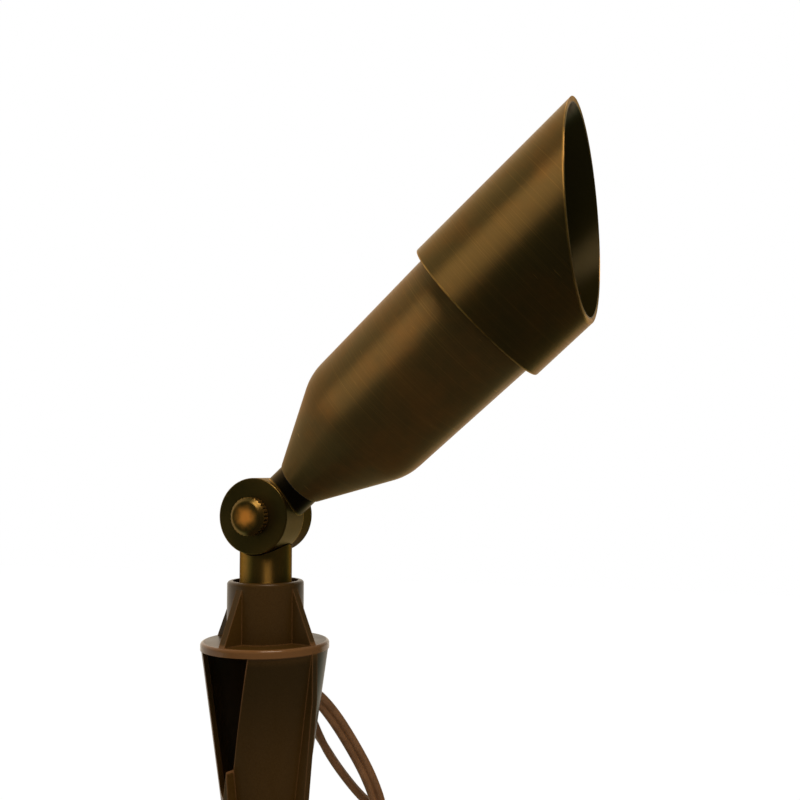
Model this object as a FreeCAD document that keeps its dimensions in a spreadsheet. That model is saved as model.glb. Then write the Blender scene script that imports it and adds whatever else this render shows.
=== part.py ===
import FreeCAD, Part
import Sketcher
import math
import os
import re

# A garden spike spotlight. The origin is the middle of the underside of the spike's flange,
# which rests on the soil, and +Z is up. The head points along +X and upwards.
# All sizes are in millimetres and degrees.
SIZES = {
    # Ground spike: a moulded socket, a flange, a tapered hollow shell and four fins
    "spike_turn": -13,
    "flange_radius": 26.1,
    "flange_thickness": 3.2,
    "flange_round": 1.3,
    "socket_radius": 15.6,
    "socket_height": 24.1,
    "recess_radius": 13.4,
    "recess_depth": 5,
    "passage_radius": 8,
    "hub_floor": 11.2,
    "shell_radius": 25.7,
    "shell_slope": 0.143,
    "shell_wall": 2.2,
    "hollow_depth": 66,
    "core_depth": 80,
    "core_tip_depth": 104,
    "core_tip_radius": 2.4,
    "fin_thickness": 3,
    "fin_straight": 18,
    "fin_shoulder_depth": 150,
    "fin_shoulder_radius": 12.9,
    "fin_tip_radius": 1.2,
    "spike_depth": 195,
    "slot_right": 11.5,
    "slot_left": 14,
    "slot_end_shift": 5.2,
    "slot_end_radius": 4.6,
    "slot_end_depth": 53,
    # Stem: half-inch pipe thread into the spike, with the far half of the knuckle on top
    "stem_radius": 10.65,
    "thread_radius": 10.4,
    "thread_length": 10,
    "thread_clearance": 0.06,
    "wireway_radius": 4.4,
    "wireway_top": 17,
    "lead_room": 0.3,
    "lead_offset": 2,
    "passage_start": 21.5,
    "passage_tilt": 30,
    "passage_bore": 3,
    "passage_length": 15,
    "grommet_radius": 6.4,
    "grommet_depth": 6,
    "grommet_rim_radius": 7.4,
    "grommet_rim": 2,
    # Knuckle: two halves of one drum, clamped by a thumb screw along the drum's axis
    "knuckle_lift": 26.4,
    "drum_radius": 15.4,
    "drum_near": 11.5,
    "drum_far": 11.5,
    "drum_split": 3.5,
    "drum_clearance": 0.4,
    "drum_wall": 2.6,
    "drum_edge": 0.6,
    "cavity_radius": 11.6,
    "boss_radius": 5,
    "gasket_outer": 14.4,
    "gasket_inner": 12.6,
    "gasket_depth": 0.9,
    "screw_radius": 3,
    "screw_fit": 0.05,
    "screw_pass": 0.3,
    "screw_tip_gap": 2.4,
    "washer_radius": 6.4,
    "washer_thickness": 0.8,
    "knob_radius": 7.7,
    "knob_height": 5,
    "knob_shoulder": 2,
    "knob_face_radius": 6,
    "knurl_radius": 0.6,
    "knurl_count": 30,
    # Neck: from the near half of the drum into the housing
    "neck_radius": 9.9,
    "neck_reach": 20.4,
    "neck_gasket": 0.6,
    "stud_radius": 7.9,
    "stud_length": 11,
    "stud_clearance": 0.03,
    "locknut_radius": 10.8,
    "locknut_thickness": 2.5,
    # Head: a turned housing whose axis leans up from level by the head's tilt
    "head_tilt": 40.85,
    "cone_start_radius": 10.65,
    "cone_length": 35.5,
    "cone_wall": 2.4,
    "cone_boss": 7,
    "break_round": 26,
    "body_radius": 28.1,
    "body_front_radius": 29.4,
    "body_wall": 1.9,
    "body_length": 67.5,
    "collar_length": 8.5,
    "collar_clearance": 0.15,
    "ring_section": 0.95,
    "ring_clearance": 0.08,
    "ring_groove": 2.1,
    "ring_first": 1.4,
    "ring_second": 5,
    "lens_gasket_thickness": 1.2,
    "lens_gasket_inner": 27,
    "lens_thickness": 3.2,
    "lens_clearance": 0.5,
    "lens_edge": 0.4,
    # Shroud: a sleeve over the collar, its mouth cut at an angle
    "shroud_radius": 33.2,
    "shroud_wall": 1.9,
    "shroud_overlap": 3.5,
    "shroud_ledge": 2.5,
    "shroud_ledge_thickness": 2,
    "shroud_top": 81.4,
    "shroud_bottom": 28.3,
    "shroud_edge": 0.7,
    # Lamp and its holder
    "lamp_radius": 25,
    "lamp_recess": 2.5,
    "lamp_rim": 2.2,
    "bowl_depth": 27,
    "bowl_middle": 12,
    "bowl_middle_radius": 19.5,
    "bowl_neck_radius": 8.6,
    "bowl_wall": 1.5,
    "bowl_hole": 5,
    "lamp_glass_thickness": 1.1,
    "base_radius": 8.6,
    "base_length": 11,
    "pin_radius": 0.75,
    "pin_length": 7,
    "pin_spread": 2.67,
    "capsule_radius": 4.2,
    "capsule_length": 17,
    "holder_length": 20,
    "holder_width": 11,
    "holder_height": 12,
    "holder_hole": 1.6,
    "contact_radius": 1.5,
    "contact_gap": 0.05,
    "contact_inset": 2,
    "post_spread": 7.5,
    "post_radius": 2.2,
    "rivet_radius": 1.4,
    "small_screw_radius": 1.2,
    "small_screw_head": 2.3,
    "small_head_height": 2,
    "small_screw_bite": 8,
    "plate_height": 33.5,
    "plate_thickness": 1.2,
    "plate_clearance": 0.1,
    "plate_hole": 4.4,
    "lead_radius": 1.1,
    "splice_radius": 1.9,
    "splice_length": 12,
    "splice_top": 25,
    "neck_lead_start": 7,
    # Two-conductor flat cord, and the coil of the length that is put away
    "cord_width": 6.6,
    "cord_thickness": 3.4,
    "cord_gap": 0.6,
    "coil_radius": 41.4,
    "coil_plane_turn": 28.9,
    "tie_thickness": 1.2,
    "tie_width": 5,
    "tie_gap": 0.3,
    "bare_radius": 0.6,
    "bare_length": 8,
}

# Heights above the origin, as expressions of the sizes
RIM = "(flange_thickness + socket_height)"
RECESS_FLOOR = "(flange_thickness + socket_height - recess_depth)"
STEM_END = "(flange_thickness + socket_height - recess_depth - thread_length)"
KNUCKLE = "(flange_thickness + socket_height + knuckle_lift)"
STEM_REACH = "(knuckle_lift + recess_depth)"
NECK_ROOT = "(sqrt(drum_radius^2 - neck_radius^2) - drum_edge)"
STEM_ROOT = "(sqrt(drum_radius^2 - stem_radius^2) - drum_edge)"

# Distances along the head's axis from the knuckle's centre
HEAD_START = "(neck_reach + neck_gasket)"
BREAK = "(neck_reach + neck_gasket + cone_length)"
BOSS_END = "(neck_reach + neck_gasket + cone_boss)"
COLLAR_START = "(neck_reach + neck_gasket + cone_length + body_length)"
COLLAR_END = "(neck_reach + neck_gasket + cone_length + body_length + collar_length)"
LENS_BACK = "(" + COLLAR_END + " + lens_gasket_thickness)"
LENS_FRONT = "(" + COLLAR_END + " + lens_gasket_thickness + lens_thickness)"
SHROUD_START = "(" + COLLAR_START + " - shroud_overlap)"
SHROUD_INNER = "(shroud_radius - shroud_wall)"
COLLAR_RADIUS = "(shroud_radius - shroud_wall - collar_clearance)"
RING_RADIUS = "(shroud_radius - shroud_wall - ring_clearance - ring_section)"
BODY_INNER = "(body_radius - body_wall)"
CONE_SLOPE = "((body_radius - cone_start_radius) / cone_length)"
INNER_START = "(cone_start_radius + cone_boss * " + CONE_SLOPE + " - cone_wall)"
INNER_SLOPE = "((" + BODY_INNER + " - " + INNER_START + ") / (cone_length + body_wall - cone_boss))"
LAMP_FRONT = "(" + COLLAR_END + " - lamp_recess)"
BOWL_BACK = "(" + LAMP_FRONT + " - bowl_depth)"
LAMP_BACK = "(" + BOWL_BACK + " - base_length)"
HOLDER_BACK = "(" + LAMP_BACK + " - holder_height)"
PLATE_BACK = "(" + HEAD_START + " + plate_height)"
PLATE_FRONT = "(" + HEAD_START + " + plate_height + plate_thickness)"
SPLICE_TOP = "(" + HEAD_START + " + splice_top)"
LEAD_CORE = "(cord_thickness / 2)"
LEAD_SPREAD = "(cord_width / 2 - cord_thickness / 2)"

# The cord leaves the grommet downwards, turns out through the rear slot and hangs to one side.
# Its points stay as chosen; the last run meets the coil.
LEAD_ROUTE = [
    (0, 0, 10.3),
    (0, 0, 4.3),
    (1, 1.75, -3),
    (3.6, 6.1, -10.2),
    (7, 12.7, -15.7),
    (12, 21.7, -21.8),
    (17.5, 28.9, -32.2),
    (23.9, 34.3, -45.5),
    (29.5, 38.6, -58.5),
    (33.4, 41.3, -71.5),
    (35, 42.5, -85.5),
    (36.2, 42.6, -99.5),
    (35.9, 42.6, -114),
    (35.9, 42.6, -128),
]
# From the coil's end back up to the slot, where the stripped ends are tucked in
RETURN_ROUTE = [
    (68.66, 68.91, -86.6),
    (56, 61.9, -86.6),
    (43.6, 55.4, -84.2),
    (32.5, 49.7, -78.5),
    (23.9, 45.2, -70.5),
    (16.7, 40.6, -60.1),
    (11.4, 36, -49.8),
    (7, 31.8, -38.8),
    (2.6, 29.4, -28.5),
    (1.3, 25.6, -18.3),
    (1, 20, -11.3),
]
ARC_SHARE = 0.45  # of the shorter run beside a corner, taken up by the corner's arc
COIL_TURNS = 2.75
COIL_CLIMB = 0.5  # the share of a turn in which the winding climbs to its second layer
TIE_TURN = 0.06  # how far along the first turn the tie holds the coil

X = FreeCAD.Vector(1, 0, 0)
Y = FreeCAD.Vector(0, 1, 0)
Z = FreeCAD.Vector(0, 0, 1)
UNTURNED = FreeCAD.Rotation()
ALONG_Y = FreeCAD.Rotation(X, -90)
BOTH = (-1, 1)

doc = FreeCAD.newDocument("garden_spotlight")
sheet = doc.addObject("Spreadsheet::Sheet", "sizes")
for row, (name, value) in enumerate(SIZES.items(), start=1):
    sheet.set("A%d" % row, name)
    sheet.set("B%d" % row, str(value))
    sheet.setAlias("B%d" % row, name)
doc.recompute()
nodes = []


def size(name):
    return float(sheet.get(name))


def bound(text):
    # each size's name in an expression points at its cell
    return re.sub(r"[a-z][a-z_]+", lambda word: named(word.group()), text)


def named(word):
    return "sizes." + word if word in SIZES else word


def placed_body(name, placement):
    body = doc.addObject("PartDesign::Body", name)
    body.Label = name
    body.Placement = placement
    nodes.append(body)
    return body


def new_body(name, height="0", tilt=None):
    # height lifts the body's own origin, and tilt leans its axis over about Y, or turns it about Z
    axis, angle = tilt or (Y, "0")
    body = placed_body(name, FreeCAD.Placement(FreeCAD.Vector(), FreeCAD.Rotation(axis, 1)))
    body.setExpression("Placement.Rotation.Angle", bound(angle))
    body.setExpression("Placement.Base.z", bound(height))
    return body


def head_body(name):
    return new_body(name, KNUCKLE, (Y, "90 - head_tilt"))


def knuckle_body(name):
    return new_body(name, KNUCKLE)


def origin_part(body, role):
    return [part for part in body.Origin.OriginFeatures if part.Role == role][0]


def sketch_on(body, role, name):
    sketch = body.newObject("Sketcher::SketchObject", name)
    sketch.AttachmentSupport = [(origin_part(body, role), "")]
    sketch.MapMode = "FlatFace"
    return sketch


def hold(sketch, kind, line, end, text):
    # binds one coordinate of a point to an expression
    place = sketch.addConstraint(Sketcher.Constraint(kind, -1, 1, line, end, 1))
    sketch.setExpression("Constraints[%d]" % place, bound(text))


def outline(sketch, corners):
    count = len(corners)
    start = [
        FreeCAD.Vector(math.cos(2 * math.pi * i / count), math.sin(2 * math.pi * i / count), 0)
        for i in range(count)
    ]
    for i in range(count):
        sketch.addGeometry(Part.LineSegment(start[i], start[(i + 1) % count]), False)
    for i in range(count):
        sketch.addConstraint(Sketcher.Constraint("Coincident", i, 2, (i + 1) % count, 1))
    for i, (across, up) in enumerate(corners):
        hold(sketch, "DistanceX", i, 1, across)
        hold(sketch, "DistanceY", i, 1, up)


def turned(body, corners, role="XZ_Plane"):
    # a sketch turned about its upright axis: Z on the XZ plane, Y on the XY plane
    sketch = sketch_on(body, role, body.Name + "_outline")
    outline(sketch, corners)
    feature = body.newObject("PartDesign::Revolution", body.Name + "_turned")
    feature.Profile = sketch
    feature.ReferenceAxis = (sketch, ["V_Axis"])
    feature.Angle = 360
    return feature


def ring(body, inner, outer, low, high, role="XZ_Plane"):
    return turned(body, [(inner, low), (outer, low), (outer, high), (inner, high)], role)


def grooved(body, name, inner, outer, low, high):
    # cuts a ring round the knuckle's axis, and checks that it took something away
    doc.recompute()
    whole = body.Shape.Volume
    sketch = sketch_on(body, "XY_Plane", body.Name + "_" + name + "_outline")
    outline(sketch, [(inner, low), (outer, low), (outer, high), (inner, high)])
    feature = body.newObject("PartDesign::Groove", body.Name + "_" + name)
    feature.Profile = sketch
    feature.ReferenceAxis = (sketch, ["V_Axis"])
    feature.Angle = 360
    doc.recompute()
    if body.Shape.Volume >= whole:
        raise ValueError("%s cuts nothing" % feature.Name)


def solid(body, kind, name, base, turn=UNTURNED, **sizes):
    feature = body.newObject("PartDesign::" + kind, body.Name + "_" + name)
    feature.Placement = FreeCAD.Placement(FreeCAD.Vector(), turn)
    for key, text in sizes.items():
        feature.setExpression(key, bound(text))
    for axis, text in zip("xyz", base):
        feature.setExpression("Placement.Base." + axis, bound(text))
    return feature


def polar(body, original, role, count):
    pattern = body.newObject("PartDesign::PolarPattern", original.Name + "_pattern")
    pattern.Originals = [original]
    pattern.Axis = (origin_part(body, role), [""])
    pattern.Angle = 360
    if isinstance(count, str):
        pattern.setExpression("Occurrences", bound(count))
    else:
        pattern.Occurrences = count
    body.Tip = pattern
    return pattern


def round_rings(body, base, places, radius, kind="Fillet"):
    # rounds or bevels the circular edges that have the given radius and height
    doc.recompute()
    found = []
    for i, edge in enumerate(base.Shape.Edges, start=1):
        if not isinstance(edge.Curve, Part.Circle):
            continue
        for edge_radius, centre in places:
            near = (edge.Curve.Center - centre).Length < 0.01
            if near and abs(edge.Curve.Radius - edge_radius) < 0.01:
                found.append("Edge%d" % i)
    feature = body.newObject("PartDesign::" + kind, base.Name + "_" + kind.lower())
    feature.Base = (base, found)
    feature.setExpression("Radius" if kind == "Fillet" else "Size", bound(radius))
    return feature


# Ground spike and stem


def ground_spike():
    body = new_body("ground_spike", "0", (Z, "spike_turn"))
    inner_wall = "(shell_radius - shell_wall)"
    turn = turned(
        body,
        [
            ("passage_radius", "0"),
            (inner_wall, "0"),
            (inner_wall + " - shell_slope * hollow_depth", "-hollow_depth"),
            ("0", "-hollow_depth"),
            ("0", "-core_tip_depth"),
            ("core_tip_radius", "-core_tip_depth"),
            ("shell_radius - shell_slope * core_depth", "-core_depth"),
            ("shell_radius", "0"),
            ("flange_radius", "0"),
            ("flange_radius", "flange_thickness"),
            ("socket_radius", "flange_thickness"),
            ("socket_radius", RIM),
            ("recess_radius", RIM),
            ("recess_radius", RECESS_FLOOR),
            ("thread_radius + thread_clearance", RECESS_FLOOR),
            ("thread_radius + thread_clearance", "hub_floor"),
            ("passage_radius", "hub_floor"),
        ],
    )
    rim = size("flange_thickness") + size("socket_height")
    edges = [
        (size("flange_radius"), FreeCAD.Vector(0, 0, size("flange_thickness"))),
        (size("socket_radius"), FreeCAD.Vector(0, 0, rim)),
    ]
    round_rings(body, turn, edges, "flange_round")
    fin = sketch_on(body, "XZ_Plane", "fin_outline")
    mid_wall = "(shell_radius - shell_wall / 2)"
    outline(
        fin,
        [
            ("socket_radius - flange_round", RIM + " - 2 * flange_round"),
            ("socket_radius", RIM + " - 2 * flange_round"),
            ("flange_radius", "flange_thickness / 2"),
            ("flange_radius", "-fin_straight"),
            ("fin_shoulder_radius", "-fin_shoulder_depth"),
            ("fin_tip_radius", "-spike_depth"),
            ("0", "-spike_depth"),
            ("0", "-hollow_depth - shell_wall"),
            (mid_wall + " - shell_slope * hollow_depth", "-hollow_depth - shell_wall"),
            (mid_wall, "flange_thickness / 2"),
            ("socket_radius - flange_round", "flange_thickness / 2"),
        ],
    )
    pad = body.newObject("PartDesign::Pad", "fin")
    pad.Profile = fin
    pad.Midplane = True
    pad.setExpression("Length", bound("fin_thickness"))
    polar(body, pad, "Z_Axis", 4)
    doc.recompute()
    whole = body.Shape.Volume
    window = sketch_on(body, "XZ_Plane", "slot_outline")
    slot_window(window)
    slot = body.newObject("PartDesign::Pocket", "slot")
    slot.Profile = window
    slot.setExpression("Length", bound("flange_radius + fin_thickness"))
    slot.Reversed = True
    polar(body, slot, "Z_Axis", 2)
    doc.recompute()
    if body.Shape.Volume > whole - size("shell_wall") * size("slot_right") * size("slot_end_depth"):
        raise ValueError("the slots don't go through the shell")


def slot_window(sketch):
    # the slot leans: three straight sides under the flange and a half-round lower end
    left, right = FreeCAD.Vector(-2, 0, 0), FreeCAD.Vector(2, 0, 0)
    low_left, low_right = FreeCAD.Vector(-1.5, -3, 0), FreeCAD.Vector(0.5, -3, 0)
    sketch.addGeometry(Part.LineSegment(low_right, right), False)
    sketch.addGeometry(Part.LineSegment(right, left), False)
    sketch.addGeometry(Part.LineSegment(left, low_left), False)
    sketch.addGeometry(Part.Arc(low_left, FreeCAD.Vector(-0.5, -4, 0), low_right), False)
    sketch.addConstraint(Sketcher.Constraint("Coincident", 0, 2, 1, 1))
    sketch.addConstraint(Sketcher.Constraint("Coincident", 1, 2, 2, 1))
    sketch.addConstraint(Sketcher.Constraint("Coincident", 2, 2, 3, 1))
    sketch.addConstraint(Sketcher.Constraint("Coincident", 3, 2, 0, 1))
    hold(sketch, "DistanceX", 1, 1, "slot_right")
    hold(sketch, "DistanceY", 1, 1, "0")
    hold(sketch, "DistanceX", 2, 1, "-slot_left")
    hold(sketch, "DistanceY", 2, 1, "0")
    hold(sketch, "DistanceX", 2, 2, "-slot_end_shift - slot_end_radius")
    hold(sketch, "DistanceY", 2, 2, "-slot_end_depth")
    hold(sketch, "DistanceX", 0, 1, "-slot_end_shift + slot_end_radius")
    hold(sketch, "DistanceY", 0, 1, "-slot_end_depth")
    hold(sketch, "DistanceY", 3, 3, "-slot_end_depth")


def stem_knuckle():
    # the far half of the drum with the stem under it
    body = knuckle_body("stem_knuckle")
    drum = ring(body, "0", "drum_radius", "drum_split", "drum_far", "XY_Plane")
    edge = [(size("drum_radius"), FreeCAD.Vector(0, size("drum_far"), 0))]
    round_rings(body, drum, edge, "drum_edge")
    solid(
        body, "AdditiveCylinder", "stem", ("0", "0", "-" + STEM_REACH),
        Radius="stem_radius", Height=STEM_REACH + " - " + STEM_ROOT,
    )
    solid(
        body, "AdditiveCylinder", "thread", ("0", "0", "-" + STEM_REACH + " - thread_length"),
        Radius="thread_radius", Height="thread_length",
    )
    solid(
        body, "SubtractiveCylinder", "near_room", ("0", "-2 * drum_near", "0"), ALONG_Y,
        Radius="drum_radius + drum_clearance", Height="2 * drum_near + drum_split",
    )
    solid(
        body, "SubtractiveCylinder", "wireway", ("0", "0", "-" + STEM_REACH + " - thread_length"),
        Radius="wireway_radius", Height=STEM_REACH + " + thread_length - wireway_top",
    )
    grooved(body, "cavity", "boss_radius", "cavity_radius", "drum_split", "drum_far - drum_wall")
    hole_end = "drum_far - drum_wall / 2"
    grooved(body, "screw_hole", "0", "screw_radius + screw_fit", "drum_split", hole_end)
    slant = FreeCAD.Rotation(X, -size("passage_tilt"))
    solid(
        body, "SubtractiveCylinder", "passage", ("0", "0", "-passage_start"), slant,
        Radius="passage_bore", Height="passage_length",
    )
    solid(
        body, "SubtractiveCylinder", "seat", ("0", "0", "-" + STEM_REACH + " - thread_length"),
        Radius="grommet_radius", Height="grommet_depth",
    )


def stem_grommet():
    hole = "cord_width / 2"
    turned(
        new_body("stem_grommet"),
        [
            (hole, STEM_END + " - grommet_rim"),
            ("grommet_rim_radius", STEM_END + " - grommet_rim"),
            ("grommet_rim_radius", STEM_END),
            ("grommet_radius", STEM_END),
            ("grommet_radius", STEM_END + " + grommet_depth"),
            (hole, STEM_END + " + grommet_depth"),
        ],
    )


def twin_lead(body, aside, low, high):
    # two insulated conductors side by side, joined along their length
    for side in BOTH:
        solid(
            body, "AdditiveCylinder", "core_%d" % (side + 2), ("%d * %s" % (side, LEAD_SPREAD), aside, low),
            Radius=LEAD_CORE, Height="%s - %s" % (high, low),
        )


def stem_lead():
    top = "(%s - wireway_top)" % KNUCKLE
    twin_lead(new_body("stem_lead"), "0", "(%s - grommet_rim)" % STEM_END, top)


# Knuckle and neck


def head_knuckle():
    # the near half of the drum, with the neck that carries the head
    body = head_body("head_knuckle")
    drum = ring(body, "screw_radius + screw_pass", "drum_radius", "-drum_near", "drum_split", "XY_Plane")
    edge = [(size("drum_radius"), FreeCAD.Vector(0, -size("drum_near"), 0))]
    round_rings(body, drum, edge, "drum_edge")
    solid(
        body, "AdditiveCylinder", "neck", ("0", "0", NECK_ROOT),
        Radius="neck_radius", Height="neck_reach - " + NECK_ROOT,
    )
    solid(
        body, "SubtractiveCylinder", "far_room", ("0", "drum_split", "0"), ALONG_Y,
        Radius="drum_radius + drum_clearance", Height="2 * drum_far",
    )
    solid(
        body, "AdditiveCylinder", "stud", ("0", "0", "neck_reach"),
        Radius="stud_radius", Height="stud_length",
    )
    grooved(body, "cavity", "boss_radius", "cavity_radius", "-drum_near + drum_wall", "drum_split")
    grooved(body, "gasket_groove", "gasket_inner", "gasket_outer", "drum_split - gasket_depth", "drum_split")
    # the lead enters the drum to one side of the split, through a hole narrower than the neck's bore
    above = "(drum_radius + drum_wall)"
    solid(
        body, "SubtractiveCylinder", "wireway", ("0", "0", above),
        Radius="wireway_radius", Height="neck_reach + stud_length",
    )
    solid(
        body, "SubtractiveCylinder", "entry", ("0", "-lead_offset", "boss_radius + drum_edge"),
        Radius="cord_width / 2 + lead_room", Height=above + " - boss_radius",
    )


def knuckle_gasket():
    body = head_body("knuckle_gasket")
    ring(body, "gasket_inner", "gasket_outer", "drum_split - gasket_depth", "drum_split", "XY_Plane")


def thumb_screw():
    body = knuckle_body("thumb_screw")
    under = "(-drum_near - washer_thickness)"
    knob = turned(
        body,
        [
            ("0", "drum_far - screw_tip_gap"),
            ("screw_radius", "drum_far - screw_tip_gap"),
            ("screw_radius", under),
            ("knob_radius", under),
            ("knob_radius", under + " - knob_height + knob_shoulder"),
            ("knob_face_radius", under + " - knob_height"),
            ("0", under + " - knob_height"),
        ],
        "XY_Plane",
    )
    front = -size("drum_near") - size("washer_thickness") - size("knob_height")
    edge = [(size("knob_face_radius"), FreeCAD.Vector(0, front, 0))]
    round_rings(body, knob, edge, "flange_round")
    knurl = solid(
        body, "SubtractiveCylinder", "knurl", ("knob_radius + knurl_radius / 2", under + " - knob_height", "0"),
        ALONG_Y, Radius="knurl_radius", Height="knob_height",
    )
    polar(body, knurl, "Y_Axis", "knurl_count")


def screw_washer():
    body = head_body("screw_washer")
    under = "-drum_near - washer_thickness"
    ring(body, "screw_radius + screw_pass", "washer_radius", under, "-drum_near", "XY_Plane")


def neck_gasket():
    ring(head_body("neck_gasket"), "stud_radius + stud_clearance", "neck_radius", "neck_reach", HEAD_START)


def neck_locknut():
    top = BOSS_END + " + locknut_thickness"
    ring(head_body("neck_locknut"), "stud_radius + stud_clearance", "locknut_radius", BOSS_END, top)


def neck_lead():
    body = head_body("neck_lead")
    twin_lead(body, "-lead_offset", "neck_lead_start", "(%s - splice_length)" % SPLICE_TOP)


# Housing, lens and shroud


def housing():
    body = head_body("housing")
    groove_radius = "(%s - ring_section - stud_clearance)" % RING_RADIUS
    corners = [
        ("stud_radius + stud_clearance", HEAD_START),
        ("cone_start_radius", HEAD_START),
        ("body_radius", BREAK),
        ("body_front_radius", COLLAR_START),
        (COLLAR_RADIUS, COLLAR_START),
    ]
    for start in ("ring_first", "ring_second"):
        low = COLLAR_START + " + " + start
        corners += [
            (COLLAR_RADIUS, low),
            (groove_radius, low),
            (groove_radius, low + " + ring_groove"),
            (COLLAR_RADIUS, low + " + ring_groove"),
        ]
    corners += [
        (COLLAR_RADIUS, COLLAR_END),
        (BODY_INNER, COLLAR_END),
        (BODY_INNER, BREAK + " + body_wall"),
        (INNER_START, BOSS_END),
        ("stud_radius + stud_clearance", BOSS_END),
    ]
    shell = turned(body, corners)
    height = size("neck_reach") + size("neck_gasket") + size("cone_length")
    round_rings(body, shell, [(size("body_radius"), FreeCAD.Vector(0, 0, height))], "break_round")


def collar_ring(name, start):
    body = head_body(name)
    solid(
        body, "AdditiveTorus", "ring", ("0", "0", "%s + %s + ring_groove / 2" % (COLLAR_START, start)),
        Radius1=RING_RADIUS, Radius2="ring_section",
    )


def lens_gasket():
    edge = "(%s - lens_clearance)" % SHROUD_INNER
    ring(head_body("lens_gasket"), "lens_gasket_inner", edge, COLLAR_END, LENS_BACK)


def lens():
    edge = "(%s - lens_clearance)" % SHROUD_INNER
    turned(
        head_body("lens"),
        [
            ("0", LENS_BACK),
            (edge + " - lens_edge", LENS_BACK),
            (edge, LENS_BACK + " + lens_edge"),
            (edge, LENS_FRONT + " - lens_edge"),
            (edge + " - lens_edge", LENS_FRONT),
            ("0", LENS_FRONT),
        ],
    )


def shroud():
    body = head_body("shroud")
    ledge = "(%s - shroud_ledge)" % SHROUD_INNER
    ledge_end = LENS_FRONT + " + shroud_ledge_thickness"
    top = "(%s + shroud_top)" % SHROUD_START
    sleeve = turned(
        body,
        [
            (SHROUD_INNER, SHROUD_START),
            ("shroud_radius", SHROUD_START),
            ("shroud_radius", top),
            (SHROUD_INNER, top),
            (SHROUD_INNER, ledge_end),
            (ledge, ledge_end),
            (ledge, LENS_FRONT),
            (SHROUD_INNER, LENS_FRONT),
        ],
    )
    start = sum(size(name) for name in ("neck_reach", "neck_gasket", "cone_length", "body_length"))
    start -= size("shroud_overlap")
    round_rings(body, sleeve, [(size("shroud_radius"), FreeCAD.Vector(0, 0, start))], "shroud_edge")
    # the mouth's plane falls from the upper side's reach to the lower side's
    fall = "((shroud_top - shroud_bottom) / (2 * shroud_radius))"
    wide = "(2 * shroud_radius)"
    mouth = sketch_on(body, "XZ_Plane", "mouth_outline")
    middle = "%s + (shroud_top + shroud_bottom) / 2" % SHROUD_START
    outline(
        mouth,
        [
            ("-" + wide, "%s + %s * %s" % (middle, fall, wide)),
            (wide, "%s - %s * %s" % (middle, fall, wide)),
            (wide, top + " + " + wide),
            ("-" + wide, top + " + " + wide),
        ],
    )
    cut = body.newObject("PartDesign::Pocket", "mouth")
    cut.Profile = mouth
    cut.Midplane = True
    cut.setExpression("Length", bound("4 * shroud_radius"))


# Lamp, holder and inner wiring


def lamp_reflector():
    def inwards(depth):
        return "%s - %s" % (LAMP_FRONT, depth)

    turned(
        head_body("lamp_reflector"),
        [
            ("lamp_radius", LAMP_FRONT),
            ("lamp_radius", inwards("lamp_rim")),
            ("bowl_middle_radius", inwards("bowl_middle")),
            ("bowl_neck_radius", BOWL_BACK),
            ("bowl_hole", BOWL_BACK),
            ("bowl_hole", BOWL_BACK + " + bowl_wall"),
            ("bowl_middle_radius - bowl_wall", inwards("bowl_middle")),
            ("lamp_radius - bowl_wall", inwards("lamp_rim")),
            ("lamp_radius - bowl_wall", LAMP_FRONT),
        ],
    )


def lamp_cover_glass():
    low = "%s - lamp_glass_thickness" % LAMP_FRONT
    ring(head_body("lamp_cover_glass"), "0", "lamp_radius - bowl_wall", low, LAMP_FRONT)


def lamp_capsule():
    body = head_body("lamp_capsule")
    shape = ring(body, "0", "capsule_radius", BOWL_BACK, BOWL_BACK + " + capsule_length")
    doc.recompute()
    top = shape.Shape.BoundBox.ZMax
    round_rings(body, shape, [(size("capsule_radius"), FreeCAD.Vector(0, 0, top))], "capsule_radius / 2")


def lamp_base():
    ring(head_body("lamp_base"), "0", "base_radius", LAMP_BACK, BOWL_BACK)


def lamp_pins():
    body = head_body("lamp_pins")
    body.AllowCompound = True
    for side in BOTH:
        solid(
            body, "AdditiveCylinder", "pin_%d" % (side + 2),
            ("0", "%d * pin_spread" % side, LAMP_BACK + " - pin_length"),
            Radius="pin_radius", Height="pin_length",
        )


def lamp_holder():
    body = head_body("lamp_holder")
    solid(
        body, "AdditiveBox", "block", ("-holder_length / 2", "-holder_width / 2", HOLDER_BACK),
        Length="holder_length", Width="holder_width", Height="holder_height",
    )
    for side in BOTH:
        solid(
            body, "SubtractiveCylinder", "pin_hole_%d" % (side + 2),
            ("0", "%d * pin_spread" % side, HOLDER_BACK),
            Radius="contact_radius + contact_gap", Height="holder_height",
        )
        solid(
            body, "SubtractiveCylinder", "screw_hole_%d" % (side + 2),
            ("%d * post_spread" % side, "0", HOLDER_BACK),
            Radius="small_screw_radius + contact_gap", Height="holder_height",
        )
        solid(
            body, "SubtractiveCylinder", "head_recess_%d" % (side + 2),
            ("%d * post_spread" % side, "0", LAMP_BACK + " - small_head_height"),
            Radius="small_screw_head + contact_gap", Height="small_head_height",
        )


def holder_contacts():
    body = head_body("holder_contacts")
    body.AllowCompound = True
    low = HOLDER_BACK + " + contact_inset"
    for side in BOTH:
        base = ("0", "%d * pin_spread" % side, low)
        solid(
            body, "AdditiveCylinder", "sleeve_%d" % (side + 2), base,
            Radius="contact_radius", Height="holder_height - 2 * contact_inset",
        )
        solid(
            body, "SubtractiveCylinder", "grip_%d" % (side + 2), base,
            Radius="pin_radius + contact_gap", Height="holder_height",
        )


def holder_screws():
    body = head_body("holder_screws")
    body.AllowCompound = True
    for side in BOTH:
        across = "%d * post_spread" % side
        solid(
            body, "AdditiveCylinder", "shank_%d" % (side + 2),
            (across, "0", HOLDER_BACK + " - small_screw_bite"),
            Radius="small_screw_radius", Height="small_screw_bite + holder_height - small_head_height",
        )
        solid(
            body, "AdditiveCylinder", "head_%d" % (side + 2),
            (across, "0", LAMP_BACK + " - small_head_height"),
            Radius="small_screw_head", Height="small_head_height",
        )


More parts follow.
